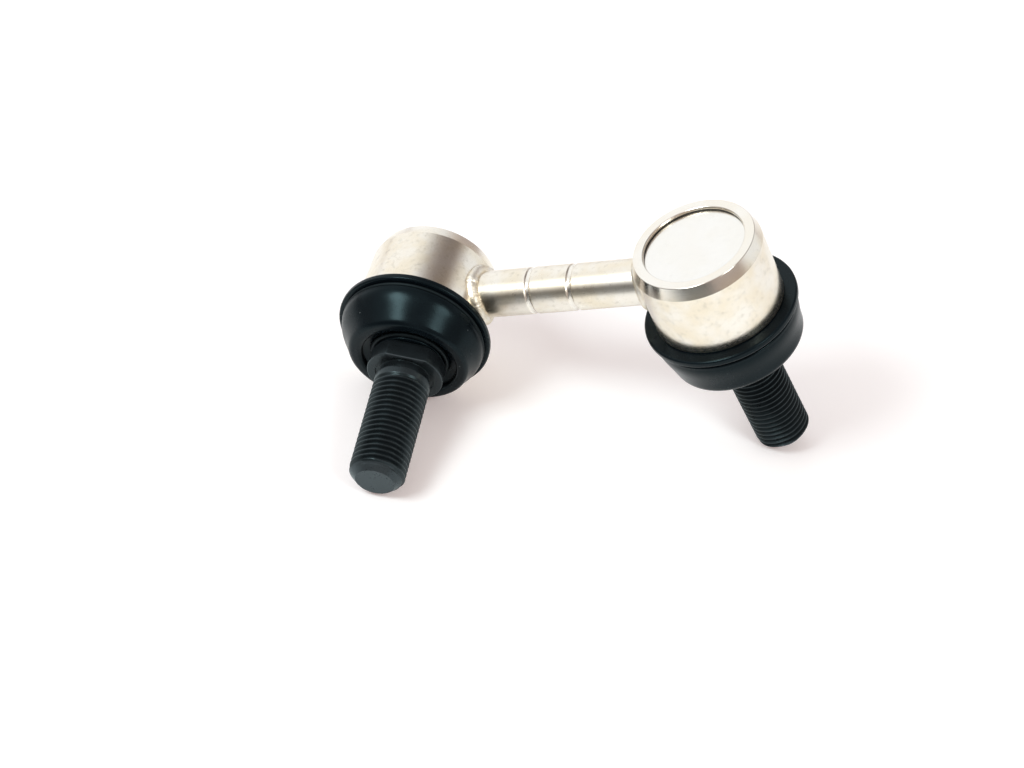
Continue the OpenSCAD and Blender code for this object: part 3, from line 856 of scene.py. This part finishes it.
class LINK_OT_studs(bpy.types.Operator):
    """Ball studs: ball, neck, land and flange with two flats in one forging, and the thread below"""
    bl_idname = "link.studs"
    bl_label = "Ball studs"

    # Turn of the spanner flats about the stud, from the rod's direction
    FLAT_TURN = math.radians(116)

    # Radius of the flat on the ball, and height of the taper between neck and land, in millimetres
    BALL_FLAT, NECK_TAPER = 2.5, 0.7

    # Widths of the broken edges at the flats and the thread's ends, and of the rubbed line on the flange
    BREAK, RUBBED = 0.25, 0.16

    # Radii of the edges in section, and how far in the wall of the bearing face's relief leans
    EDGE = SimpleNamespace(
        neck=0.5, land=0.2, flange_top=0.12, flange_side=0.2, flange_face=0.22, relief=0.08, undercut=0.12)
    RELIEF_LEAN = 0.05

    # How far the black is rubbed off, from 0 to 1
    WEAR = SimpleNamespace(
        ball=0.15, flange=0.08, edge=0.25, corner=0.55, thread=0.04, crest=0.2, end_face=0.5, chamfer=0.4)

    # Depth of the rubbed crests, and depth and height of the tip's chamfer, in millimetres
    CREST, CHAMFER_DEPTH, CHAMFER_HEIGHT = 0.08, 0.3, 1.6

    # Steps over the ball, and points round it and round the flange
    BALL_STEPS, BALL_SEGMENTS, FLANGE_SEGMENTS = 26, 96, 360

    def head_outline(self, s):
        ball, neck, land = s.ball_diameter / 2, s.neck_diameter / 2, s.land_diameter / 2
        flat = math.degrees(math.acos(self.BALL_FLAT / ball))
        low = -math.degrees(math.acos(neck / ball))
        globe = [(x, y, 0) for x, y in arc((0, -BALL_DROP), ball, flat, low, self.BALL_STEPS)]
        return rounded([
            (0, globe[0][1], 0), *globe, (neck, -s.land_top + self.NECK_TAPER, self.EDGE.neck),
            (land, -s.land_top, self.EDGE.land), (land, -s.flange_top, 0), (0, -s.flange_top, 0),
        ], closed=False)

    def flange(self, s, name, end):
        """Round flange with two flats: each row of the outline is cut back to the flats, edges included"""
        flange, bearing, undercut = s.flange_diameter / 2, s.bearing_diameter / 2, s.undercut_diameter / 2
        top, face, chamfer, base = -s.flange_top, -s.flange_face, s.flange_edge, -s.thread_top
        relief, edge, wear = face + s.relief, self.EDGE, self.WEAR
        outline = rounded([
            (0, top, 0), (flange - chamfer, top, edge.flange_top), (flange, top - chamfer, edge.flange_side),
            (flange, face, edge.flange_face), (bearing, face, edge.relief),
            (bearing - self.RELIEF_LEAN, relief, edge.relief), (undercut, relief, edge.undercut),
            (undercut, base, 0), (0, base, 0),
        ], closed=False)
        radius, height = outline[:, :1], outline[:, 1:2]
        points = lathe(outline, self.FLANGE_SEGMENTS)
        angle = np.arctan2(points[..., 1], points[..., 0]) - self.FLAT_TURN
        flat = s.flats / 2 - np.minimum(flange - radius, self.BREAK)
        limit = flat / np.maximum(np.abs(np.cos(angle)), 0.1)
        reach = np.maximum(np.hypot(points[..., 0], points[..., 1]), 1e-9)
        shrink = np.where(radius > bearing + NEAR, np.minimum(1, limit / reach), 1)
        points[..., :2] *= shrink[..., None]
        mesh = ring_mesh(name, end.place(points, 1.0), outline, False, {})
        off_edge = np.abs(height - face - self.RUBBED / 2) / self.RUBBED
        on_edge = np.clip(1 - off_edge, 0, 1) * (radius > bearing + 2 * NEAR)
        on_corner = on_edge * (shrink < 0.995)
        mark_points(mesh, "worn", wear.flange + wear.edge * on_edge + wear.corner * on_corner)
        return mesh

    def execute(self, context):
        s = in_mm(context.scene.link_stud)
        rule = thread_rule()
        finish = finish_of("black_oxide")
        columns = context.scene.link_stage.thread_columns
        rows = ROWS_PER_TURN * math.ceil((s.tip - s.thread_top) / s.pitch + 2) + 1
        lengths = {
            "Top": -s.thread_top, "Tip": -s.tip, "Plain": s.plain_length, "Depth": s.thread_depth,
            "Pitch": s.pitch, "Major Radius": s.thread_diameter / 2, "Tip Radius": s.tip_diameter / 2,
            "Undercut Radius": s.undercut_diameter / 2,
        }
        sizes = {"Columns": columns, "Rows": rows, "Material": finish}
        sizes.update({key: value * MM for key, value in lengths.items()})
        outline = self.head_outline(s)
        worn = {"worn": self.WEAR.ball + 0 * outline[:, 0]}
        for side in SIDES:
            end = End(side)
            ball = turned_piece(
                f"{side}_stud_ball", end, outline, finish, self.BALL_SEGMENTS, worn, closed=False, share=1.0)
            mesh = self.flange(s, f"{side}_stud_flange", end)
            flange = add_piece(mesh.name, finish_mesh(mesh, sharp=24), finish)
            mesh = rule.run(f"{side}_stud_thread", sizes)
            self.close_ends(mesh, s)
            put_mesh(mesh, end, 1.0)
            thread = add_piece(mesh.name, finish_mesh(mesh, sharp=30), finish)
            for piece in (ball, flange, thread):
                seat_piece(piece, f"{side}_stud", f"{side}_ball_stud")
        return {"FINISHED"}

    def close_ends(self, mesh, s):
        """Closes both ends of the thread, and marks its crests and its flat end as rubbed"""
        form = bmesh.new()
        form.from_mesh(mesh)
        open_edges = [edge for edge in form.edges if edge.is_boundary]
        bmesh.ops.holes_fill(form, edges=open_edges, sides=0)
        ends = [face for face in form.faces if len(face.verts) > 4]
        for face in ends:
            bmesh.ops.inset_region(form, faces=[face], thickness=self.BREAK * MM, use_even_offset=True)
        form.to_mesh(mesh)
        form.free()
        points = mesh_points(mesh)
        radius, over_tip = np.hypot(points[:, 0], points[:, 1]), points[:, 2] + s.tip
        outer, wear = s.thread_diameter / 2, self.WEAR
        crest = np.clip((radius - (outer - self.CREST)) / self.CREST, 0, 1)
        end_face = (over_tip < NEAR) & (radius < s.tip_diameter / 2 - NEAR)
        chamfer = (radius < outer - self.CHAMFER_DEPTH) & (over_tip < self.CHAMFER_HEIGHT)
        tip = np.maximum(wear.end_face * end_face, wear.chamfer * chamfer)
        mark_points(mesh, "worn", np.maximum(wear.thread + wear.crest * crest, tip))


class LINK_OT_boots(bpy.types.Operator):
    """Rubber dust boots, bent to their studs' lean at rest"""
    bl_idname = "link.boots"
    bl_label = "Dust boots"

    # Share of the swing that a boot's lip takes up, as a place on the smooth step from 0 to 1
    LIP_STEP = 0.755

    # Radii of the edges in section, and width of the ledge behind the clamp's groove, in millimetres
    EDGE = SimpleNamespace(
        rim=0.45, groove_top=0.2, groove_base=0.15, bulge=0.8, throat=0.45, web=0.35, collar=0.25,
        shaft_base=0.2, shaft_top=0.1)
    LEDGE = 0.4

    # Hidden side of the fold: how far out from and over the collar's top and the throat's, and the radii
    BACK = ((0.3, -0.28, 0.4), (0.9, 0.5, 0.3))

    # Steps down the bulge's side, round its corner, back inside that, round the bead and up the throat
    SIDE_STEPS, CORNER_STEPS, INNER_STEPS, BEAD_STEPS, THROAT_STEPS = 17, 14, 5, 20, 8

    # Where the bead's arc starts, in degrees over its outer side, and points round a boot
    BEAD_START, SEGMENTS = 30, 180

    # Greatest value of f * (1 - f) ** 3, which shapes the bulge's side
    SWELL_PEAK = 0.25 * 0.75 ** 3

    def runs(self, s):
        """Depths between which the outer wall takes up the swing, and the folded mouth the rest of it"""
        outer = (s.groove_base, s.groove_base + (s.depth - s.groove_base) / self.LIP_STEP)
        fold_start = (s.depth - self.LIP_STEP * s.collar_base) / (1 - self.LIP_STEP)
        return {"wall": outer, "fold": (fold_start, s.collar_base)}

    def share(self, height, run):
        t = np.clip((-height - run[0]) / (run[1] - run[0]), 0, 1)
        return t * t * (3 - 2 * t)

    def wall_outline(self, s, h):
        """Rim, clamp groove and tapered bulge down to the lip, and the inner side back up"""
        base, edge = -s.depth, self.EDGE
        middle = np.array((s.mouth_diameter / 2 + s.fold, base + s.corner))
        rim, groove, top = s.rim_diameter / 2, s.groove_diameter / 2, (s.bulge_diameter / 2, -s.groove_base)
        run = top - middle
        slope = math.acos(s.corner / math.hypot(*run)) - math.atan2(run[1], run[0])
        out = np.array((math.cos(slope), -math.sin(slope)))
        inner_radius = max(s.corner - s.wall, 0)
        touch, inner_touch = middle + s.corner * out, middle + inner_radius * out
        neck, lip = h.neck_diameter / 2 + s.fit, h.lip_diameter / 2 + s.fit
        grip = -h.shoulder - h.floor_height + h.lip_height + s.fit
        shoulder = -s.groove_base - s.wall
        outer = rounded([
            (neck, -s.rim_top, 0), (rim, -s.rim_top, edge.rim), (rim, -s.rim_base, edge.rim),
            (groove, -s.rim_base, edge.groove_top), (groove, -s.groove_base, edge.groove_base),
            (*top, edge.bulge), (*touch, 0),
        ], closed=False)
        step = np.linspace(0, 1, self.SIDE_STEPS)[1:-1, None]
        swell = s.swell * step * (1 - step) ** 3 / self.SWELL_PEAK
        side_rows = outer[-2] + step * (touch - outer[-2]) + swell * out
        bend = arc(middle, s.corner, -math.degrees(slope), -90, self.CORNER_STEPS)
        back = arc(middle, inner_radius, -90, -math.degrees(slope), self.INNER_STEPS)
        inside = inner_touch + (shoulder - inner_touch[1]) * np.array((math.tan(slope), 1))
        under_bead = s.mouth_diameter / 2 + s.bead_radius
        mouth = [(under_bead, base), (under_bead, base + s.wall)]
        tail = [inside, (lip + self.LEDGE, shoulder), (lip, -s.groove_base), (lip, grip), (neck, grip)]
        return np.vstack([outer[:-1], side_rows, bend, mouth, back, tail])

    def fold_outline(self, s, shaft):
        """Bead at the mouth, throat, web and collar, and the hidden side back"""
        throat, collar, edge = s.mouth_diameter / 2, s.collar_diameter / 2, self.EDGE
        base, top, web = -s.depth, -s.collar_top, -s.collar_top - s.web
        rim_web = web - s.web_drop
        middle = (throat + s.bead_radius, base + s.bead_radius)
        bead = arc(middle, s.bead_radius, self.BEAD_START, -180, self.BEAD_STEPS)
        rows = np.linspace(middle[1], rim_web, self.THROAT_STEPS)[1:-1]
        throat_rows = np.stack([np.full(len(rows), throat), rows], -1)
        roots = ((collar, top), (throat, rim_web))
        hidden = [(x + out, y + over, radius) for (x, y), (out, over, radius) in zip(roots, self.BACK)]
        inner = rounded([
            (throat, rows[-1], 0), (throat, rim_web, edge.throat), (collar, web, edge.web),
            (collar, -s.collar_base, edge.collar), (shaft, -s.collar_base, edge.shaft_base),
            (shaft, top, edge.shaft_top), *hidden, (throat + s.wall, base + s.wall, 0),
        ], closed=False)
        return np.vstack([bead, throat_rows, inner[1:]])

    def execute(self, context):
        h, stud = in_mm(context.scene.link_housing), in_mm(context.scene.link_stud)
        for side in SIDES:
            s, end = in_mm(context.scene.link_boot, side), End(side)
            shaft = stud.land_diameter / 2 + s.fit / 2
            outlines = {"wall": self.wall_outline(s, h), "fold": self.fold_outline(s, shaft)}
            for part, outline in outlines.items():
                run = self.runs(s)[part]
                share = self.share(outline[:, 1:2], run)
                points = end.place(lathe(outline, self.SEGMENTS), share)
                mesh = finish_mesh(ring_mesh(f"{side}_boot_{part}", points, outline, True, {}), sharp=50)
                piece = add_piece(mesh.name, mesh, finish_of("rubber"))
                lean = 0.0 if part == "wall" else float(self.share(-s.depth, run))
                end.on_axis(-run[0], lean)
                end.on_axis(-run[1], lean)
                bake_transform(piece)
                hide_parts(f"{side}_boot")
        return {"FINISHED"}


class LINK_OT_inner_parts(bpy.types.Operator):
    """Finishes of the wire rings and the ball seats, which keep their own solids"""
    bl_idname = "link.inner_parts"
    bl_label = "Rings and seats"

    def execute(self, context):
        kinds = {"ball_seat": "plastic", "boot_clamp": "wire", "boot_clip": "wire"}
        for side in SIDES:
            for node, kind in kinds.items():
                mesh = frame["nodes"][f"{side}_{node}"].data
                mesh.materials.clear()
                mesh.materials.append(finish_of(kind))
        return {"FINISHED"}


class LINK_OT_stage(bpy.types.Operator):
    """Pale floor, soft light and the camera"""
    bl_idname = "link.stage"
    bl_label = "Stage"

    # Half the floor's width, in metres
    FLOOR_REACH = 3

    # Painted darker reflection: how much darker the floor in front is where it is mirrored, standing in for
    # the darker room in front, and the distances over which it darkens
    MIRRORED_DIM, DIM_START, DIM_FULL = 0.92, 0.04, 0.13

    # How far that front leans to the left, and the share of the floor's colour that is left there
    FRONT_LEAN, DIM_COLOUR = 0.5, 0.1

    # Light that the floor adds for the camera, and its share where it is mirrored
    FLOOR_GLOW, MIRRORED_GLOW = (0.2, 0.13, 0.115, 1.0), 0.5

    # Patches of the sky: direction, where a patch starts and is full, and its strength
    BRIGHT = (((-0.72, 0.62, 0.3), 0.5, 0.95, 1.5), ((0.8, 0.55, 0.22), 0.72, 0.96, 1.1),
              ((-0.62, -0.55, 0.56), 0.84, 0.97, 0.8), ((-0.35, -0.15, 0.92), 0.8, 0.97, 0.7))
    DARK = (((0.12, 0.55, 0.82), 0.84, 0.97, 0.5), ((-0.45, -0.89, 0.04), 0.88, 0.98, 0.9))
    EVEN_TINT, BRIGHT_TINT, WHITE = (1.0, 0.86, 0.81, 1.0), (0.98, 1.0, 1.02, 1.0), (1.0, 1.0, 1.0, 1.0)

    # Lamps: azimuth and elevation in degrees, width, height; then the distance, aim's height and tint of both
    LAMPS = {"left_lamp": (-132, 46, 0.32, 0.26), "right_lamp": (-36, 41, 0.26, 0.26)}
    LAMP_DISTANCE, LAMP_AIM, LAMP_TINT = 0.8, 0.02, (0.93, 1.0, 1.0)

    # Width of the camera's sensor in millimetres, and the nearest that it sees in metres
    SENSOR, NEAREST = 36, 0.01

    def floor(self, context):
        """Floor that looks white and keeps the link's shadow, with a painted darker reflection where the
        plating mirrors its front
        """
        far = self.FLOOR_REACH
        mesh = bpy.data.meshes.new("floor")
        mesh.from_pydata([(-far, -far, 0), (far, -far, 0), (far, far, 0), (-far, far, 0)], [], [(0, 1, 2, 3)])
        material = bpy.data.materials.new("floor")
        material.use_nodes = True
        g = Graph(material.node_tree)
        material.node_tree.nodes.clear()
        camera, mirror = (g.node("ShaderNodeLightPath", out=f"Is {ray} Ray") for ray in ("Camera", "Glossy"))
        x, y = g.parts(g.node("ShaderNodeTexCoord", out="Object"))[:2]
        front = g.rise(x * -self.FRONT_LEAN - y, self.DIM_START, self.DIM_FULL)
        near = 1 - self.MIRRORED_DIM * mirror * front
        pale = context.scene.link_colours.floor
        tone = g.mix(near, rgba(pale, self.DIM_COLOUR), rgba(pale))
        paint = g.node("ShaderNodeBsdfDiffuse", {}, {"Color": tone})
        glow = g.node("ShaderNodeEmission", {}, {"Color": self.FLOOR_GLOW, "Strength": 1.0})
        white = g.node("ShaderNodeAddShader", {}, {0: paint, 1: glow})
        share = (camera + mirror * near * self.MIRRORED_GLOW).maths("MINIMUM", 1.0)
        surface = g.node("ShaderNodeMixShader", {}, {0: share, 1: paint, 2: white})
        g.end("ShaderNodeOutputMaterial", "Surface", surface)
        add_piece("floor", mesh, material)

    def sky(self, context):
        """Even light with brighter and darker patches, and white where the camera sees it"""
        world = bpy.data.worlds.new("studio")
        context.scene.world = world
        world.use_nodes = True
        world.node_tree.nodes.clear()
        g = Graph(world.node_tree)
        x, y, z = g.parts(g.node("ShaderNodeTexCoord", out="Generated"))

        def patches(places):
            lit = [g.rise(x * aim[0] + y * aim[1] + z * aim[2], start, full) * strength
                   for aim, start, full, strength in places]
            return sum(lit[1:], lit[0])

        bright = patches(self.BRIGHT)
        power = (1 + bright - patches(self.DARK)) * context.scene.link_stage.sky
        tone = g.mix(bright.maths("MINIMUM", 1.0), self.EVEN_TINT, self.BRIGHT_TINT)
        seen = g.node("ShaderNodeLightPath", out="Is Camera Ray")
        light = g.node("ShaderNodeBackground", {}, {
            "Color": g.mix(seen, tone, self.WHITE), "Strength": power * (1 - seen) + seen})
        g.end("ShaderNodeOutputWorld", "Surface", light)

    def lamp(self, context, name, azimuth, elevation, width, height):
        """A soft lamp that looks at the link"""
        data = bpy.data.lights.new(name, "AREA")
        data.shape, data.size, data.size_y, data.color = "RECTANGLE", width, height, self.LAMP_TINT
        data.energy = getattr(context.scene.link_stage, name)
        lamp = bpy.data.objects.new(name, data)
        context.scene.collection.objects.link(lamp)
        turn, up = math.radians(azimuth), math.radians(elevation)
        level, rise = self.LAMP_DISTANCE * math.cos(up), self.LAMP_DISTANCE * math.sin(up)
        lamp.location = (level * math.cos(turn), level * math.sin(turn), rise + self.LAMP_AIM)
        lamp.rotation_euler = (math.pi / 2 - up, 0, turn + math.pi / 2)

    def execute(self, context):
        stage = context.scene.link_stage
        self.floor(context)
        self.sky(context)
        for name, place in self.LAMPS.items():
            self.lamp(context, name, *place)
        data = bpy.data.cameras.new("camera")
        data.lens, data.sensor_width, data.clip_start = stage.lens, self.SENSOR, self.NEAREST
        camera = bpy.data.objects.new("camera", data)
        context.scene.collection.objects.link(camera)
        camera.location = stage.camera_place
        camera.rotation_euler = stage.camera_turn
        context.scene.camera = camera
        context.scene.view_settings.view_transform = "Standard"
        return {"FINISHED"}


class LINK_PT_panel(bpy.types.Panel):
    """Lists the link's pieces"""
    bl_idname = "LINK_PT_panel"
    bl_label = "Stabilizer link"
    bl_space_type = "VIEW_3D"
    bl_region_type = "UI"
    bl_category = "Link"

    def draw(self, context):
        for operator in OPERATORS:
            self.layout.operator(operator.bl_idname)
        for key, group in GROUPS.items():
            box = self.layout.box()
            box.label(text=group.__doc__)
            for name in group.__annotations__:
                box.prop(getattr(context.scene, key), name)


GROUPS = {
    "link_rod": LinkRodSizes, "link_housing": LinkHousingSizes, "link_stud": LinkStudSizes,
    "link_boot": LinkBootSizes, "link_colours": LinkColours, "link_stage": LinkStage,
}
OPERATORS = (
    LINK_OT_stage, LINK_OT_rod, LINK_OT_welds, LINK_OT_housings, LINK_OT_covers, LINK_OT_studs, LINK_OT_boots,
    LINK_OT_inner_parts,
)


def register():
    for item in (*GROUPS.values(), *OPERATORS, LINK_PT_panel):
        bpy.utils.register_class(item)
    for key, group in GROUPS.items():
        setattr(bpy.types.Scene, key, PointerProperty(type=group))


def unregister():
    for key in GROUPS:
        delattr(bpy.types.Scene, key)
    for item in (LINK_PT_panel, *reversed(OPERATORS), *reversed(GROUPS.values())):
        bpy.utils.unregister_class(item)


def main():
    register()
    bpy.ops.link.stage()
    bpy.ops.link.rod()
    bpy.ops.link.welds()
    bpy.ops.link.housings()
    bpy.ops.link.covers()
    bpy.ops.link.studs()
    bpy.ops.link.boots()
    bpy.ops.link.inner_parts()


if __name__ == "__main__":
    main()
